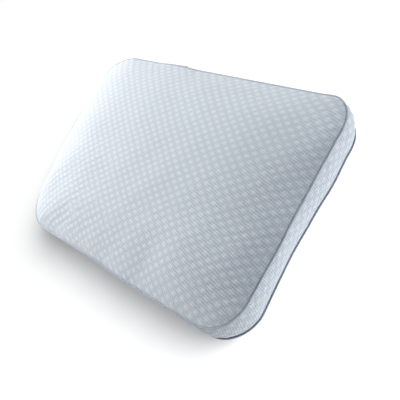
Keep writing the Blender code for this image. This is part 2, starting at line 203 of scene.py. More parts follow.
OUTLINE_POINTS, OUTLINE_NORMALS, OUTLINE_STATIONS = dense_outline()
PERIMETER = OUTLINE_STATIONS[-1]


def outline(stations):
    """Points and outward normals of the seam line at those stations, in plan."""
    wrapped = np.mod(stations, PERIMETER)
    point = [np.interp(wrapped, OUTLINE_STATIONS, OUTLINE_POINTS[:, axis]) for axis in (0, 1)]
    normal = [np.interp(wrapped, OUTLINE_STATIONS, OUTLINE_NORMALS[:, axis]) for axis in (0, 1)]
    normal = np.stack(normal, -1)
    return np.stack(point, -1), normal / np.linalg.norm(normal, axis=-1, keepdims=True)


def corner_radius(inset):
    return np.minimum(CORNER_RADIUS + CORNER_GROWTH * inset, HALF_WIDTH - inset)


def outside(x, y, inset):
    """Distance from the outline at that inset, negative inside it."""
    radius = corner_radius(inset)
    past_x = np.abs(x) - (HALF_LENGTH - inset - radius)
    past_y = np.abs(y) - (HALF_WIDTH - inset - radius)
    corner = np.hypot(np.maximum(past_x, 0), np.maximum(past_y, 0))
    return corner + np.minimum(np.maximum(past_x, past_y), 0) - radius


def inset_at(x, y):
    """How far inside the seam line each place lies, found by halving."""
    low = np.zeros_like(x)
    high = np.full_like(x, HALF_WIDTH - 0.0001)
    for _ in range(30):
        middle = (low + high) / 2
        inside = outside(x, y, middle) < 0
        low = np.where(inside, middle, low)
        high = np.where(inside, high, middle)
    return (low + high) / 2


# Grids


def grid_lines(half, pitch, first):
    """Positions from -half to half, close together at the ends and a pitch apart in the middle."""
    near = [0.0]
    step = first
    while step < pitch:
        near.append(near[-1] + step)
        step *= 1.35
    count = max(1, round((half - near[-1]) / pitch))
    from_end = np.concatenate([near[:-1], np.linspace(near[-1], half, count + 1)])
    return np.concatenate([from_end - half, (half - from_end)[::-1][1:]])


def plan_grid(pitch, first):
    """Grid lines along both axes, and the plan places where they cross, with rounded corners."""
    along = grid_lines(HALF_LENGTH, pitch, first)
    across = grid_lines(HALF_WIDTH, pitch, first)
    x, y = np.meshgrid(along, across, indexing="ij")
    straight_x = HALF_LENGTH - CORNER_RADIUS
    straight_y = HALF_WIDTH - CORNER_RADIUS
    p = np.maximum(np.abs(x) - straight_x, 0) / CORNER_RADIUS
    q = np.maximum(np.abs(y) - straight_y, 0) / CORNER_RADIUS
    round_x = np.minimum(np.abs(x), straight_x) + CORNER_RADIUS * p * np.sqrt(1 - q**2 / 2)
    round_y = np.minimum(np.abs(y), straight_y) + CORNER_RADIUS * q * np.sqrt(1 - p**2 / 2)
    return along, across, np.sign(x) * round_x, np.sign(y) * round_y


def normals_of(grid, flip=False):
    """Unit normals of a grid of points, from its neighbours."""
    along = np.gradient(grid, axis=0)
    across = np.gradient(grid, axis=1)
    normal = np.cross(along, across)
    normal /= np.maximum(np.linalg.norm(normal, axis=-1, keepdims=True), 1e-12)
    return -normal if flip else normal


def spline_matrix(known, wanted):
    """Matrix of a natural cubic spline: values at the wanted places from values at the known ones."""
    count = len(known)
    gaps = np.diff(known)
    bends = np.zeros((count, count))
    second = np.zeros((count, count))
    bends[0, 0] = bends[-1, -1] = 1.0
    for i in range(1, count - 1):
        bends[i, i - 1 : i + 2] = gaps[i - 1], 2 * (gaps[i - 1] + gaps[i]), gaps[i]
        second[i, i - 1] = 6 / gaps[i - 1]
        second[i, i] = -6 / gaps[i - 1] - 6 / gaps[i]
        second[i, i + 1] = 6 / gaps[i]
    curvature = np.linalg.solve(bends, second)
    cell = np.clip(np.searchsorted(known, wanted) - 1, 0, count - 2)
    gap = gaps[cell]
    right = (wanted - known[cell]) / gap
    left = 1 - right
    made = np.zeros((len(wanted), count))
    rows = np.arange(len(wanted))
    made[rows, cell] = left
    made[rows, cell + 1] = right
    low = ((left**3 - left) * gap**2 / 6)[:, None]
    high = ((right**3 - right) * gap**2 / 6)[:, None]
    return made + low * curvature[cell] + high * curvature[cell + 1]


def smoothstep(low, high, value):
    share = np.clip((value - low) / (high - low), 0, 1)
    return share * share * (3 - 2 * share)


def smooth_noise(places, wavelength, seed, waves=9):
    """Seeded noise of about -1 to 1 with that wavelength, at an array of places."""
    random = np.random.default_rng(seed)
    total = np.zeros(places.shape[:-1])
    for _ in range(waves):
        direction = random.normal(size=places.shape[-1])
        direction *= random.uniform(0.7, 1.4) / (wavelength * np.linalg.norm(direction))
        total += np.sin(2 * math.pi * (places @ direction) + random.uniform(0, 2 * math.pi))
    return total / math.sqrt(2 * waves)


# Shape of the cover


def crown(inset, slope, height, power):
    """Rise from the seam to the flat patch in the middle of a panel."""
    share = np.clip(inset / slope, 0, 1)
    return height * (1 - (1 - share) ** 2) ** power


def front_base(x, y):
    slope = LEFT_SLOPE + (RIGHT_SLOPE - LEFT_SLOPE) * smoothstep(-0.25, 0.20, x)
    power = LEFT_POWER + (RIGHT_POWER - LEFT_POWER) * smoothstep(0.0, 0.25, x)
    rise = crown(inset_at(x, y), slope, TOP + PLUMP - FRONT_SEAM - SEAM_STEP, power)
    rise *= 1 - DOME * ((x - SUMMIT) / HALF_LENGTH) ** 2
    return np.stack([x, y, FRONT_SEAM + SEAM_STEP + rise], -1)


def back_base(x, y):
    drop = crown(inset_at(x, y), BOTTOM_SLOPE, BACK_SEAM - SEAM_STEP, BACK_POWER)
    return np.stack([x, y, BACK_SEAM - SEAM_STEP - drop], -1)


def gusset_base(stations, heights):
    """Grid of the side wall: stations round the outline by heights from the middle."""
    point, normal = outline(stations)
    bulge = GUSSET_BULGE * (1 - (heights / GUSSET_HALF) ** 2)
    plan = point[:, None, :] + normal[:, None, :] * bulge[None, :, None]
    level = np.broadcast_to(MIDDLE + heights[None, :, None], (*plan.shape[:2], 1))
    return np.concatenate([plan, level], -1)


def border_loop(count_x, count_y):
    """Grid places round the border of a panel, counter-clockwise from above."""
    right = [(count_x - 1, j) for j in range(count_y - 1)]
    back = [(i, count_y - 1) for i in range(count_x - 1, 0, -1)]
    left = [(0, j) for j in range(count_y - 1, 0, -1)]
    front = [(i, 0) for i in range(count_x - 1)]
    return np.array(right + back + left + front)


def station_of(x, y):
    """Station of each place on the seam line, from the stretch of the outline that is nearest to it."""
    runs = np.diff(OUTLINE_POINTS, axis=0)
    lengths = np.diff(OUTLINE_STATIONS)
    found = []
    for place in np.stack([x, y], -1):
        share = np.clip(((place - OUTLINE_POINTS[:-1]) * runs).sum(axis=1) / lengths**2, 0, 1)
        away = np.linalg.norm(OUTLINE_POINTS[:-1] + share[:, None] * runs - place, axis=1)
        nearest = np.argmin(away)
        found.append(OUTLINE_STATIONS[nearest] + share[nearest] * lengths[nearest])
    return np.array(found)


# Cloth simulation


class Cover:
    """The coarse cover, and how far its two panels differ from their base shape."""

    def __init__(self):
        self.along, self.across, x, y = plan_grid(COARSE_PITCH, COARSE_PITCH / 2)
        border = border_loop(len(self.along), len(self.across))
        stations = station_of(x[tuple(border.T)], y[tuple(border.T)])
        order = np.argsort(stations)
        self.rim = tuple(border[order].T)
        heights = np.linspace(-GUSSET_HALF, GUSSET_HALF, COARSE_ROWS + 2)[1:-1]
        self.front = front_base(x, y)
        self.back = back_base(x, y)
        self.gusset = gusset_base(stations[order], heights)
        self.front_move = np.zeros_like(self.front)
        self.back_move = np.zeros_like(self.back)

    def mesh_data(self):
        """Vertices and faces of one closed mesh, and the vertices that the simulation holds."""
        size = self.front[..., 0].size
        front_index = np.arange(size).reshape(self.front.shape[:2])
        back_index = front_index + size
        gusset_index = np.arange(self.gusset[..., 0].size).reshape(self.gusset.shape[:2]) + 2 * size
        columns = np.concatenate(
            [back_index[self.rim][:, None], gusset_index, front_index[self.rim][:, None]], axis=1
        )
        faces = quads(front_index) + quads(back_index, flip=True) + wall_faces(columns)
        points = np.concatenate([part.reshape(-1, 3) for part in (self.front, self.back, self.gusset)])
        return points, faces, columns.ravel()

    def inflate(self):
        """Runs the cloth simulation and keeps its capped movement. Seams and side wall are held."""
        base, faces, held = self.mesh_data()
        start = base.copy()
        upper = start[:, 2] > FRONT_SEAM
        lower = start[:, 2] < BACK_SEAM
        start[upper, 2] = FRONT_SEAM + (start[upper, 2] - FRONT_SEAM) * START_CROWN
        start[lower, 2] = BACK_SEAM - (BACK_SEAM - start[lower, 2]) * START_CROWN
        start[held] = base[held]
        mesh = bpy.data.meshes.new("cover_simulation")
        mesh.from_pydata(start.tolist(), [], faces)
        obj = linked("cover_simulation", mesh)
        pins = obj.vertex_groups.new(name="held")
        pins.add(held.tolist(), 1.0, "REPLACE")
        cloth = obj.modifiers.new("cloth", "CLOTH")
        settings = cloth.settings
        settings.quality = 6
        settings.mass = 0.25
        settings.tension_stiffness = 12
        settings.compression_stiffness = 8
        settings.shear_stiffness = 4
        settings.bending_stiffness = 0.3
        settings.vertex_group_mass = pins.name
        settings.use_pressure = True
        settings.uniform_pressure_force = PRESSURE
        settings.effector_weights.gravity = 0
        cloth.collision_settings.use_collision = False
        cloth.point_cache.frame_start = 1
        cloth.point_cache.frame_end = FRAMES
        scene = bpy.context.scene
        for number in range(1, FRAMES + 1):
            scene.frame_set(number)
        evaluated = obj.evaluated_get(bpy.context.evaluated_depsgraph_get())
        moved = np.empty(len(mesh.vertices) * 3)
        evaluated.data.vertices.foreach_get("co", moved)
        scene.frame_set(1)
        bpy.data.objects.remove(obj)
        move = moved.reshape(-1, 3) - start
        length = np.linalg.norm(move, axis=1, keepdims=True)
        move *= np.minimum(1, MOVE_CAP / np.maximum(length, 1e-9))
        change = start + move - base
        size = self.front[..., 0].size
        self.front_move = change[:size].reshape(self.front.shape)
        self.back_move = change[size : 2 * size].reshape(self.back.shape)

    def panel_move(self, moves, along, across):
        """The simulated movement at a finer grid of the same panel."""
        rows = spline_matrix(self.along, along)
        columns = spline_matrix(self.across, across)
        return np.einsum("ai,ijk,bj->abk", rows, moves, columns)


def faces_between(corners, flip=False):
    """Four-sided faces, from four arrays of vertex indices in order round each face."""
    faces = np.stack([corner.ravel() for corner in corners], -1)
    return [tuple(face) for face in (faces[:, ::-1] if flip else faces).tolist()]


def quads(index, flip=False):
    """Faces of a grid of vertex indices."""
    return faces_between((index[:-1, :-1], index[1:, :-1], index[1:, 1:], index[:-1, 1:]), flip)


def wall_faces(columns, flip=False):
    """Faces of a closed wall, from its columns of vertex indices in order round it."""
    after = np.roll(columns, -1, axis=0)
    return faces_between((columns[:, :-1], after[:, :-1], after[:, 1:], columns[:, 1:]), flip)


def linked(name, data):
    """A new object in the scene, for that mesh, lamp or camera."""
    obj = bpy.data.objects.new(name, data)
    bpy.context.scene.collection.objects.link(obj)
    return obj


# Where the finished cover differs from the plain outline


def settle(points):
    """Moves places on the pillow a little, as a real one is never quite true. The zip stays straight."""
    moved = np.array(points, float)
    zip_side = smoothstep(*ZIP_SIDE, moved[..., 1]) * (1 - smoothstep(*ZIP_ENDS, np.abs(moved[..., 0])))
    waver = [smooth_noise(moved, WAVER_LENGTH, seed) for seed in (21, 22, 23)]
    shift = WAVER * np.stack(waver, -1) * (1 - zip_side[..., None])
    for name, (centre, reach, move) in PULLS.items():
        away = (moved - centre) / reach
        near = np.prod(np.clip(1 - away**2, 0, 1), axis=-1) ** PULL_POWER
        held = 0.0 if name in ZIP_SIDE_PULLS else zip_side
        shift += (near * (1 - held))[..., None] * np.array(move)
    return moved + shift


# Lattice of the knit


def puffs(along, across):
    """Height of the raised lattice, 0 in its grooves and 1 on its puffs."""
    first = along / LATTICE_LENGTH + across / LATTICE_WIDTH
    second = along / LATTICE_LENGTH - across / LATTICE_WIDTH
    wave = np.abs(np.cos(math.pi * first) * np.cos(math.pi * second))
    return wave**PUFF_POWER


def knit_relief(grid, normal, along, across, edge):
    """Raises the lattice out of a grid. It fades out where the cloth is pulled into a seam."""
    places = np.stack([along, across], -1)
    drift_along = DRIFT * smooth_noise(places, DRIFT_LENGTH, seed=11)
    drift_across = DRIFT * smooth_noise(places, DRIFT_LENGTH, seed=12)
    fullness = 1 + FULLNESS_CHANGE * smooth_noise(places, FULLNESS_LENGTH, seed=4)
    relief = PUFF_HEIGHT * puffs(along + drift_along, across + drift_across) * fullness
    relief *= smoothstep(0.0, SEAM_FADE, edge)
    return grid + normal * relief[..., None]


# Meshes


def finish_mesh(obj, piece_material, body, nodes):
    """Gives a piece its material, and its place in the frame's table."""
    obj.data.materials.clear()
    obj.data.materials.append(piece_material)
    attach(obj, body)
    if nodes:
        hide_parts(*nodes)
    return obj


def new_object(name, points, faces, uv=None):
    mesh = bpy.data.meshes.new(name)
    mesh.from_pydata(np.asarray(points).reshape(-1, 3).tolist(), [], faces)
    if uv is not None:
        layer = mesh.uv_layers.new(name="cloth")
        corner = np.empty(len(mesh.loops), int)
        mesh.loops.foreach_get("vertex_index", corner)
        layer.uv.foreach_set("vector", uv[corner].astype(np.float32).ravel())
    mesh.shade_smooth()
    return linked(name, mesh)


def cloth_solid(name, outer, inner, uv, flip=False, step=3):
    """A sheet with thickness: a fine outer face, an inner face with fewer faces, and a rim between them."""
    count_x, count_y = outer.shape[:2]
    index = np.arange(count_x * count_y).reshape(count_x, count_y)
    faces = quads(index, flip)
    lines_x = sorted({*range(0, count_x, step), count_x - 1})
    lines_y = sorted({*range(0, count_y, step), count_y - 1})
    border = border_loop(count_x, count_y)
    kept = {(int(i), int(j)) for i, j in border}
    kept.update((i, j) for i in lines_x for j in lines_y)
    kept = sorted(kept)
    number = {place: count_x * count_y + k for k, place in enumerate(kept)}

    def side(fixed, low, high, across, on_border):
        """Places along one side of an inner face, without its last corner."""
        step_by = 1 if high > low else -1
        run = range(low, high, step_by) if on_border else (low,)
        return [(fixed, k) if across else (k, fixed) for k in run]

    for i0, i1 in zip(lines_x, lines_x[1:]):
        for j0, j1 in zip(lines_y, lines_y[1:]):
            places = side(j0, i0, i1, False, j0 == 0)
            places += side(i1, j0, j1, True, i1 == count_x - 1)
            places += side(j1, i1, i0, False, j1 == count_y - 1)
            places += side(i0, j1, j0, True, i0 == 0)
            face = [number[place] for place in places]
            faces.append(tuple(face if flip else reversed(face)))
    rim = [(int(i), int(j)) for i, j in border]
    for (i0, j0), (i1, j1) in zip(rim, rim[1:] + rim[:1]):
        face = (int(index[i0, j0]), int(index[i1, j1]), number[(i1, j1)], number[(i0, j0)])
        faces.append(tuple(face if flip else reversed(face)))
    places = tuple(np.array(kept).T)
    points = np.concatenate([outer.reshape(-1, 3), inner[places]])
    uvs = np.concatenate([uv.reshape(-1, 2), uv[places]])
    return new_object(name, points, faces, uvs)


def swept_loop(name, rings, uv, flip=False):
    """A tube that runs round in a closed loop, from its rings of points."""
    count, around = rings.shape[:2]
    index = np.arange(count * around).reshape(count, around)
    after = np.roll(index, -1, axis=0)
    faces = faces_between((index, after, np.roll(after, -1, axis=1), np.roll(index, -1, axis=1)), flip)
    return new_object(name, rings, faces, uv.reshape(-1, 2))


# Materials


class Surface:
    """A material on a Principled BSDF, with short calls for its nodes."""

    def __init__(self, name, **values):
        self.material = bpy.data.materials.new(name)
        self.material.use_nodes = True
        self.tree = self.material.node_tree
        self.shader = self.tree.nodes["Principled BSDF"]
        for key, value in values.items():
            socket = self.shader.inputs[key.replace("_", " ").title()]
            socket.default_value = (*value, 1.0) if isinstance(value, tuple) else value

    def put(self, socket, value):
        if isinstance(value, bpy.types.NodeSocket):
            self.tree.links.new(value, socket)
        elif isinstance(value, tuple) and len(value) == 3 and socket.type == "RGBA":
            socket.default_value = (*value, 1.0)
        else:
            socket.default_value = value

    def math(self, operation, first, second=0.0, clamp=False):
        node = self.tree.nodes.new("ShaderNodeMath")
        node.operation = operation
        node.use_clamp = clamp
        self.put(node.inputs[0], first)
        self.put(node.inputs[1], second)
        return node.outputs[0]

    def add(self, *terms):
        total = terms[0]
        for term in terms[1:]:
            total = self.math("ADD", total, term)
        return total

    def times(self, first, second):
        return self.math("MULTIPLY", first, second)

    def wave(self, value, period, shift=0.0):
        """Sine of a place in metres, with that period."""
        turned = self.times(value, 2 * math.pi / period)
        return self.math("SINE", self.math("ADD", turned, shift))

    def cloth_places(self):
        node = self.tree.nodes.new("ShaderNodeUVMap")
        node.uv_map = "cloth"
        split = self.tree.nodes.new("ShaderNodeSeparateXYZ")
        self.put(split.inputs[0], node.outputs[0])
        return split.outputs[0], split.outputs[1]

    def object_places(self):
        node = self.tree.nodes.new("ShaderNodeTexCoord")
        return node.outputs["Object"]

    def split(self, vector):
        node = self.tree.nodes.new("ShaderNodeSeparateXYZ")
        self.put(node.inputs[0], vector)
        return node.outputs

    def noise(self, size, detail=2.0):
        """Noise of 0 to 1 whose spots are about that size."""
        node = self.tree.nodes.new("ShaderNodeTexNoise")
        self.put(node.inputs["Vector"], self.object_places())
        node.inputs["Scale"].default_value = 1 / size
        node.inputs["Detail"].default_value = detail
        return node.outputs[0]

    def cells(self, size):
        """Distance from the middle of round cells of about that size."""
        node = self.tree.nodes.new("ShaderNodeTexVoronoi")
        self.put(node.inputs["Vector"], self.object_places())
        node.inputs["Scale"].default_value = 1 / size
        return node.outputs["Distance"]

    def mix(self, share, first, second):
        node = self.tree.nodes.new("ShaderNodeMix")
        node.data_type = "RGBA"
        self.put(node.inputs[0], share)
        self.put(node.inputs[6], first)
        self.put(node.inputs[7], second)
        return node.outputs[2]

    def set(self, socket, value):
        self.put(self.shader.inputs[socket], value)

    def finished(self, shade, dark, light, height, depth):
        """The material, with a colour between dark and light and a relief of that depth."""
        self.set("Base Color", self.mix(shade, dark, light))
        node = self.tree.nodes.new("ShaderNodeBump")
        node.inputs["Distance"].default_value = depth
        self.put(node.inputs["Height"], height)
        self.set("Normal", node.outputs[0])
        return self.material


def knit_material():
    """Jacquard knit: puffs painted lighter and grooves painted darker, as painted shade of the lattice's
    relief, with rows of loops and a soft fuzz.
    """
    made = Surface("knit", roughness=0.88, sheen_weight=0.18, sheen_roughness=0.5)
    along, across = made.cloth_places()
    u = made.times(along, 1 / LATTICE_LENGTH)
    v = made.times(across, 1 / LATTICE_WIDTH)
    first = made.math("COSINE", made.times(made.add(u, v), math.pi))
    second = made.math("COSINE", made.times(made.math("SUBTRACT", u, v), math.pi))
    # The lattice's height, used as colour too: painted light on the puffs and painted shade in the grooves.
    painted_relief_shading = made.math("POWER", made.math("ABSOLUTE", made.times(first, second)), PUFF_POWER)
    courses = made.wave(made.add(across, made.times(along, 0.25)), COURSE_PITCH)
    wales = made.wave(made.add(along, made.times(across, -0.2)), WALE_PITCH)
    loops = made.wave(across, LOOP_HEIGHT, made.times(made.wave(along, LOOP_WIDTH), 1.4))
    patches = made.noise(0.09, 2.0)
    specks = made.noise(0.0035, 3.0)
    mesh = made.times(made.add(courses, wales), 0.5)
    shade = made.add(
        made.times(painted_relief_shading, 0.85), made.times(mesh, 0.34), made.times(loops, 0.05), made.times(specks, 0.40)
    )
    shade = made.math("ADD", shade, made.times(patches, 0.10), clamp=True)
    height = made.add(made.times(mesh, 1.6), made.times(loops, 0.45), made.times(specks, 0.9))
    # Dark and light ends of the colour: the grooves' painted shade and the puffs' painted light.
    return made.finished(shade, (0.625, 0.680, 0.740), (0.825, 0.880, 0.945), height, 0.00035)


def piping_material():
    """Woven bias strip, darker than the knit, with its threads running slantwise round the cord."""
    made = Surface("piping", roughness=0.75, sheen_weight=0.1)
    along, across = made.cloth_places()
    warp = made.wave(made.add(along, across), 0.0007)
    weft = made.wave(made.math("SUBTRACT", along, across), 0.0007)
    weave = made.times(warp, weft)
    shade = made.math("ADD", made.times(weave, 0.25), made.noise(0.02, 3.0), clamp=True)
    return made.finished(shade, (0.42, 0.46, 0.52), (0.56, 0.60, 0.66), weave, 0.0001)


def foam_material():
    """Open-cell foam under a matt moulded skin: fine pores, and a few larger ones."""
    made = Surface("foam", roughness=0.95)
    fine = made.cells(0.0012)
    coarse = made.cells(0.006)
    pores = made.math("MULTIPLY", fine, made.add(made.times(coarse, 0.5), 0.5), clamp=True)
    return made.finished(pores, (0.80, 0.76, 0.62), (0.92, 0.89, 0.79), pores, 0.0003)


def tricot_material():
    """Thin white warp knit with fine ribs."""
    made = Surface("tricot", roughness=0.8, sheen_weight=0.15)
    x, y, z = made.split(made.object_places())
    ribs = made.wave(x, 0.0009)
    zigzag = made.wave(made.add(y, z), 0.0012, made.times(ribs, 1.5))
    shade = made.math("ADD", made.times(made.times(ribs, zigzag), 0.2), made.noise(0.03, 2.0), clamp=True)
    return made.finished(shade, (0.80, 0.82, 0.85), (0.90, 0.92, 0.95), made.times(ribs, zigzag), 0.00012)


def cotton_material():
    """Twisted cotton strands."""
    made = Surface("cotton", roughness=0.92, sheen_weight=0.2)
    along, across = made.cloth_places()
    fibre = made.wave(made.add(along, made.times(across, 1.5)), 0.0005)
    shade = made.math("ADD", made.times(fibre, 0.2), made.noise(0.004, 4.0), clamp=True)
    return made.finished(shade, (0.68, 0.67, 0.63), (0.86, 0.85, 0.81), fibre, 0.00008)


def tape_material():
    """Woven polyester tape in a herringbone."""
    made = Surface("zip_tape", roughness=0.78, sheen_weight=0.1)
    along, across = made.cloth_places()
    leaning = made.math("PINGPONG", across, 0.0026)
    twill = made.wave(made.add(along, leaning), 0.0008)
    threads = made.wave(across, 0.0005)
    weave = made.add(made.times(twill, 0.6), made.times(threads, 0.4))
    shade = made.math("ADD", made.times(weave, 0.25), made.noise(0.01, 3.0), clamp=True)
    return made.finished(shade, (0.55, 0.60, 0.68), (0.72, 0.77, 0.84), weave, 0.00012)


def nylon_material():
    """Satin, slightly clear filament, with fine lengthwise drawing lines."""
    made = Surface("nylon", subsurface_weight=0.15, subsurface_scale=0.0005, coat_weight=0.2)
    streaks = made.noise(0.0009, 3.0)
    made.set("Roughness", made.add(made.times(streaks, 0.2), 0.28))
    return made.finished(streaks, (0.62, 0.67, 0.74), (0.74, 0.79, 0.86), streaks, 0.00003)


def metal_material():
    """Nickel-plated die casting, satin, duller and scratched where fingers rub it."""
    made = Surface("zip_metal", metallic=1.0)
    grain = made.noise(0.0004, 4.0)
    worn = made.noise(0.004, 2.0)
    x = made.split(made.object_places())[0]
    lines = made.wave(made.add(x, made.times(worn, 0.002)), 0.00035)
    made.set("Roughness", made.add(made.times(worn, 0.22), made.times(grain, 0.08), 0.14))
    return made.finished(
        worn, (0.50, 0.51, 0.53), (0.66, 0.67, 0.69), made.add(made.times(lines, 0.3), grain), 0.00002
    )


def satin_material():
    """Blank white satin ribbon: glossy floats that cross fine ribs."""
    made = Surface("label_satin", roughness=0.4, sheen_weight=0.2, anisotropic=0.5)
    along, across = made.cloth_places()
    floats = made.wave(across, 0.0004)
    ribs = made.wave(along, 0.0007, made.times(floats, 0.8))
    shade = made.math("ADD", made.times(ribs, 0.2), made.noise(0.006, 3.0), clamp=True)
    return made.finished(shade, (0.80, 0.80, 0.80), (0.92, 0.92, 0.92), ribs, 0.00006)


def thread_material():
    """Twisted sewing thread in the colour of the knit."""
    made = Surface("thread", roughness=0.6, sheen_weight=0.1)
    x, y, z = made.split(made.object_places())
    ply = made.wave(made.add(x, z, made.times(y, 1.5)), 0.0004)
    return made.finished(ply, (0.55, 0.60, 0.68), (0.76, 0.81, 0.88), ply, 0.00006)


# Pieces of the cover


def smooth_panel(cover, front, pitch, first):
    """A panel without its relief: plan places, points and normals. The back is flat where it rests."""
    along, across, x, y = plan_grid(pitch, first)
    base = front_base(x, y) if front else back_base(x, y)
    moves = cover.front_move if front else cover.back_move
    smooth = settle(base + cover.panel_move(moves, along, across))
    if not front:
        smooth[..., 2] = np.maximum(smooth[..., 2], PUFF_HEIGHT)
    return x, y, smooth, normals_of(smooth, flip=not front)


def panel(cover, name, node, front, material):
    """One panel of the cover, from its base shape, the simulated movement and the knit's relief."""
    x, y, smooth, normal = smooth_panel(cover, front, FINE_PITCH, SEAM_PITCH)
    outer = knit_relief(smooth, normal, x, y, inset_at(x, y))
    if not front:
        outer[..., 2] = np.maximum(outer[..., 2], 0.0)
    inner = smooth - normal * FABRIC
    made = cloth_solid(name, outer, inner, np.stack([x, y], -1), flip=not front)
    return finish_mesh(made, material, "pillow", [node])


def side_wall(name, node, stations, heights, material):
    """A stretch of the side wall between those stations and heights."""
    smooth = settle(gusset_base(stations, heights))
    normal = normals_of(smooth)
    along, across = np.meshgrid(stations, heights, indexing="ij")
    edge = GUSSET_HALF - np.abs(across)
    hem = np.zeros_like(edge)
    if np.abs(heights).min() > HEM / 2:
        from_hem = np.abs(across) - HEM
        edge = np.minimum(edge, from_hem)
        hem = HEM_RISE * (1 - smoothstep(HEM_WIDTH - 0.001, HEM_WIDTH, from_hem))
    outer = knit_relief(smooth, normal, along, across, edge) + normal * hem[..., None]
    inner = smooth - normal * FABRIC
    made = cloth_solid(name, outer, inner, np.stack([along, across], -1))
    return finish_mesh(made, material, "pillow", [node])


def side_walls(material):
    """The gusset, and the two strips beside the zip."""
    end = STRIP_HALF + SEAM_GAP
    count = round((PERIMETER - 2 * end) / FINE_PITCH)
    stations = np.linspace(end, PERIMETER - end, count + 1)
    heights = grid_lines(GUSSET_HALF, FINE_PITCH, 0.0008)
    side_wall("gusset_wall", "gusset_band", stations, heights, material)
    stations = np.linspace(-STRIP_HALF, STRIP_HALF, round(2 * STRIP_HALF / FINE_PITCH) + 1)
    upper = HEM + grid_lines((GUSSET_HALF - HEM) / 2, 0.0015, 0.0006) + (GUSSET_HALF - HEM) / 2
    side_wall("zip_flap_front", "zip_strip_front", stations, upper, material)
    side_wall("zip_flap_back", "zip_strip_back", stations, -upper[::-1], material)


def round_seam(section, seam, spacing):
    """Rings of points along a seam, from a section of (inset, height from the seam) pairs."""
    count = round(PERIMETER / spacing)
    stations = np.arange(count) * PERIMETER / count
    point, normal = outline(stations)
    inset, height = np.array(section).T
    plan = point[:, None, :] - normal[:, None, :] * inset[None, :, None]
    level = np.broadcast_to(seam + height[None, :, None], (*plan.shape[:2], 1))
    run = np.concatenate([[0.0], np.cumsum(np.hypot(np.diff(inset), np.diff(height)))])
    along, across = np.meshgrid(stations, run, indexing="ij")
    return settle(np.concatenate([plan, level], -1)), np.stack([along, across], -1)


def wrap_section(down):
    """A strip folded round the cord, whose two leaves turn to one side behind the gusset."""
    opening = math.asin(LEAF / WRAP_OUTER)
    section = []
    for step in range(19):
        angle = math.pi - opening - 2 * (math.pi - opening) * step / 18
        section.append((-CORD_OUT - WRAP_OUTER * math.cos(angle), WRAP_OUTER * math.sin(angle)))
    section += [(FABRIC + LEAF, -LEAF), (FABRIC + LEAF, -LEAF_LENGTH)]
    section += [(FABRIC + 3 * LEAF, -LEAF_LENGTH), (FABRIC + 3 * LEAF, LEAF)]
    return [(inset, height if down else -height) for inset, height in section]


def piping(name, node, seam, down, material):
    rings, uv = round_seam(wrap_section(down), seam, 0.0020)
    made = swept_loop(name, rings, uv, flip=not down)
    return finish_mesh(made, material, "pillow", [node])


def cord(name, node, seam, material):
    """Three twisted strands, as one rope whose lobes turn round its centre."""
    count = round(PERIMETER / 0.0009)
    stations = np.arange(count) * PERIMETER / count
    point, normal = outline(stations)
    angles = np.linspace(0, 2 * math.pi, 12, endpoint=False)
    twist = 2 * math.pi * np.round(PERIMETER / CORD_TWIST) * stations / PERIMETER
    lobes = 1 + CORD_LOBE * np.cos(3 * (angles[None, :] + twist[:, None]))
    radius = CORD_RADIUS / (1 + CORD_LOBE) * lobes
    out = CORD_OUT + radius * np.cos(angles)
    plan = point[:, None, :] + normal[:, None, :] * out[..., None]
    level = seam + (radius * np.sin(angles))[..., None]
    rings = settle(np.concatenate([plan, level], -1))
    along, across = np.meshgrid(stations, angles * CORD_RADIUS, indexing="ij")
    made = swept_loop(name, rings, np.stack([along, across], -1), flip=True)
    return finish_mesh(made, material, "pillow", [node])


# Filling


def filling_grids(cover, depth, inset):
    """Grids of the filling's top and underside, that far inside the cover."""
    grids = []
    for front in (True, False):
        _, _, lowered, normal = smooth_panel(cover, front, FILLING_PITCH, 0.002)
        lowered[..., :2] *= np.array([1 - inset / HALF_LENGTH, 1 - inset / HALF_WIDTH])
        lowered[..., 2] -= depth * np.sign(normal[..., 2]) / np.maximum(np.abs(normal[..., 2]), 0.4)
        grids.append(lowered)
    return grids


def filling_part(name, grids, heights, thickness=None):
    """A mesh from one or two panel grids, and the rows of the straight side that join or end them."""
    shape = grids[0].shape[:2]
    size = grids[0][..., 0].size
    rim = tuple(border_loop(*shape).T)
    side = np.repeat(grids[0][rim][:, None, :], len(heights), axis=1)
    side[..., 2] = heights
    indices = [np.arange(number * size, (number + 1) * size).reshape(shape) for number in range(len(grids))]
    side_index = np.arange(side[..., 0].size).reshape(side.shape[:2]) + size * len(grids)
    faces = quads(indices[0], flip=grids[0][..., 2].mean() < MIDDLE)
    for index in indices[1:]:
        faces += quads(index, flip=True)
    columns = [indices[0][rim][:, None], side_index] + [index[rim][:, None] for index in indices[1:]]
    faces += wall_faces(np.concatenate(columns, axis=1), flip=heights[-1] < heights[0])
    obj = new_object(name, np.concatenate([grid.reshape(-1, 3) for grid in (*grids, side)]), faces)
    if thickness is not None:
        solidify = obj.modifiers.new("thickness", "SOLIDIFY")
        solidify.thickness = thickness
        solidify.offset = -1
    smooth = obj.modifiers.new("smooth", "SUBSURF")
    smooth.levels = 1
    smooth.render_levels = 1
    return obj


def filling(cover, foam, tricot):
    """The foam core, and the thin sleeve sewn round it from two halves."""
    top, under = filling_grids(cover, FOAM_DEPTH, FOAM_INSET)
    walls = MIDDLE + np.linspace(WALL_HALF, -WALL_HALF, 7)
    core = filling_part("foam_block", [top, under], walls)
    finish_mesh(core, foam, "pillow", ["foam_core"])
    top, under = filling_grids(cover, SLEEVE_DEPTH, SLEEVE_INSET)
    upper = MIDDLE + np.linspace(WALL_HALF, SEAM_GAP / 2, 5)
    lower = MIDDLE - np.linspace(WALL_HALF, SEAM_GAP / 2, 5)
    half = filling_part("sleeve_upper", [top], upper, SLEEVE)
    finish_mesh(half, tricot, "pillow", ["inner_sleeve_top"])
    half = filling_part("sleeve_lower", [under], lower, SLEEVE)
    finish_mesh(half, tricot, "pillow", ["inner_sleeve_bottom"])


# Zip


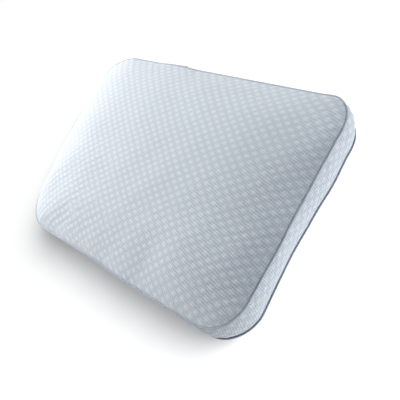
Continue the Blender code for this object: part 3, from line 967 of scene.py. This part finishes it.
def swept_paths(name, paths, radius, sides, reference):
    """Round tubes along open paths, capped at both ends, as one mesh. No path runs along the reference."""
    points = []
    faces = []
    first = 0
    angles = np.linspace(0, 2 * math.pi, sides, endpoint=False)
    for path in paths:
        path = np.asarray(path, float)
        tangent = np.gradient(path, axis=0)
        tangent /= np.linalg.norm(tangent, axis=1, keepdims=True)
        side = np.cross(tangent, reference)
        side /= np.linalg.norm(side, axis=1, keepdims=True)
        up = np.cross(side, tangent)
        ring = side[:, None, :] * np.cos(angles)[None, :, None]
        ring = ring + up[:, None, :] * np.sin(angles)[None, :, None]
        points.append((path[:, None, :] + radius * ring).reshape(-1, 3))
        index = np.arange(len(path) * sides).reshape(len(path), sides) + first
        around = np.roll(index, -1, axis=1)
        faces += faces_between((index[:-1], index[1:], around[1:], around[:-1]))
        faces.append(tuple(index[0].tolist()))
        faces.append(tuple(index[-1][::-1].tolist()))
        first += len(path) * sides
    return new_object(name, np.concatenate(points), faces)


def zip_coil(name, node, side, phase, material):
    """A coil of nylon filament, flattened, whose turns reach for the other coil between its turns."""
    low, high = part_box(node)
    back = (high.z if side > 0 else low.z) - MIDDLE
    reach = abs(back) - TIP_GAP
    turns = int((high.x - low.x - 2 * FILAMENT) / COIL_PITCH)
    angle = np.linspace(0, 2 * math.pi * turns, 11 * turns + 1) + phase
    x = low.x + FILAMENT + COIL_PITCH * (angle - phase) / (2 * math.pi)
    across = side * (TIP_GAP + reach / 2 + (reach / 2 - FILAMENT) * np.cos(angle))
    out = (low.y + high.y) / 2 + ((high.y - low.y) / 2 - FILAMENT) * np.sin(angle)
    path = np.stack([x, out, MIDDLE + across], -1)
    made = swept_paths(name, [path], FILAMENT, 6, (1.0, 0.0, 0.0))
    return finish_mesh(made, material, "pillow", [node])


def zip_tape(name, node, material):
    """Woven tape with a thicker row of thread along each edge."""
    low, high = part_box(node)
    along = np.linspace(low.x, high.x, 237)
    across = np.linspace(low.z, high.z, 14)
    x, z = np.meshgrid(along, across, indexing="ij")
    share = (z - low.z) / (high.z - low.z)
    rib = TAPE_RIB * np.cos(2 * math.pi * 3 * share)
    outer = np.stack([x, np.full_like(x, high.y - TAPE_RIB) + rib, z], -1)
    inner = np.stack([x, np.full_like(x, low.y), z], -1)
    made = cloth_solid(name, outer, inner, np.stack([x, z], -1), flip=True)
    return finish_mesh(made, material, "pillow", [node])


def rounded_copy(name, node, body, metal):
    """A CAD piece of the zip with its edges rounded off, which stands for it."""
    mesh = bpy.data.meshes.new(name)
    shape = bmesh.new()
    shape.from_mesh(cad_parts[node].data)
    bmesh.ops.remove_doubles(shape, verts=shape.verts, dist=0.000005)
    parts = {"verts": shape.verts, "edges": shape.edges}
    bmesh.ops.dissolve_limit(shape, angle_limit=math.radians(2), use_dissolve_boundaries=False, **parts)
    shape.to_mesh(mesh)
    shape.free()
    mesh.shade_smooth()
    obj = linked(name, mesh)
    bevel = obj.modifiers.new("rounding", "BEVEL")
    bevel.width = METAL_ROUNDING
    bevel.segments = 3
    bevel.limit_method = "ANGLE"
    bevel.angle_limit = math.radians(25)
    bevel.harden_normals = True
    return finish_mesh(obj, metal, body, [node])


def stitch_row(name, start, end, spacing, material):
    """A row of short stitches between two places. Each one rises out of the cloth and goes back in."""
    start = np.array(start)
    end = np.array(end)
    run = end - start
    count = int(np.linalg.norm(run) / spacing)
    step = run / count
    share = np.linspace(0, 1, 7)
    lift = np.stack([np.zeros(7), STITCH_RISE * (np.sin(math.pi * share) - 0.4), np.zeros(7)], -1)
    paths = [start + (number + 0.12 + 0.76 * share[:, None]) * step + lift for number in range(count)]
    made = swept_paths(name, paths, THREAD_RADIUS, 6, (0.0, 1.0, 0.0))
    return finish_mesh(made, material, "pillow", [])


def zip_pieces(tape, nylon, metal, thread):
    """Tapes, coils, stops, slider and pull, and the hems' stitches."""
    for side, half in ((1, "front"), (-1, "back")):
        zip_tape(f"woven_tape_{half}", f"zip_tape_{half}", tape)
        zip_coil(f"coil_{half}", f"zip_coil_{half}", side, math.pi if side < 0 else 0.0, nylon)
        rounded_copy(f"top_stop_{half}", f"zip_top_stop_{half}", "pillow", metal)
        height = np.array([side * (HEM + 0.6 * HEM_WIDTH)])
        ends = np.array([-STRIP_HALF + STITCH_END, STRIP_HALF - STITCH_END])
        place = gusset_base(ends, height)[:, 0]
        place[:, 1] += HEM_RISE + THREAD_RADIUS
        stitch_row(f"hem_stitches_{half}", place[0], place[1], STITCH_SPACING, thread)
    rounded_copy("bottom_stop", "zip_bottom_stop", "pillow", metal)
    rounded_copy("slider_body", "zip_slider", "slider", metal)
    rounded_copy("pull_tab", "zip_pull", "pull", metal)


# Care label


def care_label(satin, thread):
    """A blank ribbon, folded double, that comes out under the front piping and bends down."""
    low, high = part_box("care_label")
    bend = (high.y - low.y) / 2
    angles = np.linspace(0, math.pi / 2, 9)
    top = high.z - LABEL_LAYER
    root = [(low.y + bend * share, top) for share in np.linspace(0, 0.9, 4)]
    curve = [(high.y - bend + bend * math.sin(a), top - bend + bend * math.cos(a)) for a in angles]
    hang = [(high.y, z) for z in np.linspace(high.z - bend - 0.001, low.z + 0.001, 8)]
    centre = np.array(root + curve + hang)
    tangent = np.gradient(centre, axis=0)
    tangent /= np.linalg.norm(tangent, axis=1, keepdims=True)
    side = np.stack([-tangent[:, 1], tangent[:, 0]], -1)
    half = LABEL_LAYER
    turn = np.linspace(0, math.pi, 7)[1:-1]
    fold = [
        centre[-1] + half * (side[-1] * math.cos(angle) + tangent[-1] * math.sin(angle)) for angle in turn
    ]
    profile = np.concatenate([centre + side * half, fold, (centre - side * half)[::-1]])
    across = np.linspace(low.x, high.x, 26)
    curl = LABEL_CURL * np.sin(2 * math.pi * (across - low.x) / (high.x - low.x))
    hanging = smoothstep(high.z - bend, low.z, profile[:, 1])
    outer = np.empty((len(profile), len(across), 3))
    outer[..., 0] = across[None, :]
    outer[..., 1] = profile[:, None, 0] + hanging[:, None] * curl[None, :]
    outer[..., 2] = profile[:, None, 1]
    outer = settle(outer)
    normal = normals_of(outer, flip=True)
    run = np.concatenate([[0.0], np.cumsum(np.linalg.norm(np.diff(profile, axis=0), axis=1))])
    uv = np.stack(np.meshgrid(run, across, indexing="ij"), -1)
    made = cloth_solid("label_ribbon", outer, outer - normal * LABEL_LAYER * 0.8, uv, flip=True, step=1)
    finish_mesh(made, satin, "pillow", ["care_label"])
    start, end = (
        (x, high.y + half + THREAD_RADIUS, high.z - bend - 0.001)
        for x in (low.x + LABEL_STITCH_END, high.x - LABEL_STITCH_END)
    )
    stitch_row("label_stitches", start, end, LABEL_STITCH_SPACING, thread)


# Stage


def floor():
    bpy.ops.mesh.primitive_plane_add(size=FLOOR_SIZE, location=(0, 0, FLOOR_LEVEL))
    plane = bpy.context.object
    plane.name = "floor"
    made = Surface("floor", base_color=(0.86, 0.86, 0.86), roughness=0.9, emission_strength=FLOOR_GLOW)
    made.shader.inputs["Specular IOR Level"].default_value = 0.1
    plane.data.materials.append(made.material)


def lamp(name, compass, height, distance, size, power, colour, floor_receives):
    """A large soft lamp aimed at the pillow. It lights either the floor or everything else."""
    data = bpy.data.lights.new(name, "AREA")
    data.shape = "DISK"
    data.size = size
    data.energy = power
    data.color = colour
    obj = linked(name, data)
    compass = math.radians(compass)
    height = math.radians(height)
    level = distance * math.cos(height)
    obj.location = (level * math.cos(compass), level * math.sin(compass), distance * math.sin(height))
    obj.rotation_euler = (-obj.location).to_track_quat("-Z", "Y").to_euler()
    receivers = bpy.data.collections.new(name)
    receivers.objects.link(bpy.data.objects["floor"])
    receivers.collection_objects[0].light_linking.link_state = "INCLUDE" if floor_receives else "EXCLUDE"
    obj.light_linking.receiver_collection = receivers


def lights():
    """Lamps named with their place, size and power, and a studio that is lightest at eye level."""
    for name, values in FLOOR_LIGHTS.items():
        lamp(name, *values, floor_receives=True)
    for name, values in LIGHTS.items():
        lamp(name, *values, floor_receives=False)
    world = bpy.data.worlds.new("studio")
    world.use_nodes = True
    tree = world.node_tree
    background = tree.nodes["Background"]
    background.inputs[0].default_value = (*COOL, 1.0)
    direction = tree.nodes.new("ShaderNodeTexCoord")
    split = tree.nodes.new("ShaderNodeSeparateXYZ")
    tree.links.new(direction.outputs["Generated"], split.inputs[0])
    last = split.outputs["Z"]
    steps = (("ABSOLUTE", 0.0), ("MULTIPLY", -1.0), ("ADD", 1.0), ("POWER", 4.0), ("MULTIPLY", HORIZON))
    for operation, value in steps:
        node = tree.nodes.new("ShaderNodeMath")
        node.operation = operation
        tree.links.new(last, node.inputs[0])
        node.inputs[1].default_value = value
        last = node.outputs[0]
    tree.links.new(last, background.inputs[1])
    bpy.context.scene.world = world
    bpy.context.scene.view_settings.view_transform = "Standard"


def camera():
    """The viewing angle: above the right end, turned so that the long sides slope down to the right."""
    data = bpy.data.cameras.new("camera")
    data.lens = 52.0
    obj = linked("camera", data)
    obj.location = (0.771, -0.158, MIDDLE + 0.724)
    obj.rotation_euler = [math.radians(angle) for angle in (30.07, 32.95, 35.52)]
    bpy.context.scene.camera = obj


def main():
    camera()
    floor()
    lights()
    cover = Cover()
    cover.inflate()
    knit = knit_material()
    panel(cover, "front_cover", "front_panel", True, knit)
    panel(cover, "back_cover", "back_panel", False, knit)
    side_walls(knit)
    piping_cloth = piping_material()
    piping("front_piping", "front_piping_wrap", FRONT_SEAM, True, piping_cloth)
    piping("back_piping", "back_piping_wrap", BACK_SEAM, False, piping_cloth)
    cotton = cotton_material()
    cord("front_cord", "front_piping_cord", FRONT_SEAM, cotton)
    cord("back_cord", "back_piping_cord", BACK_SEAM, cotton)
    filling(cover, foam_material(), tricot_material())
    thread = thread_material()
    zip_pieces(tape_material(), nylon_material(), metal_material(), thread)
    care_label(satin_material(), thread)


main()
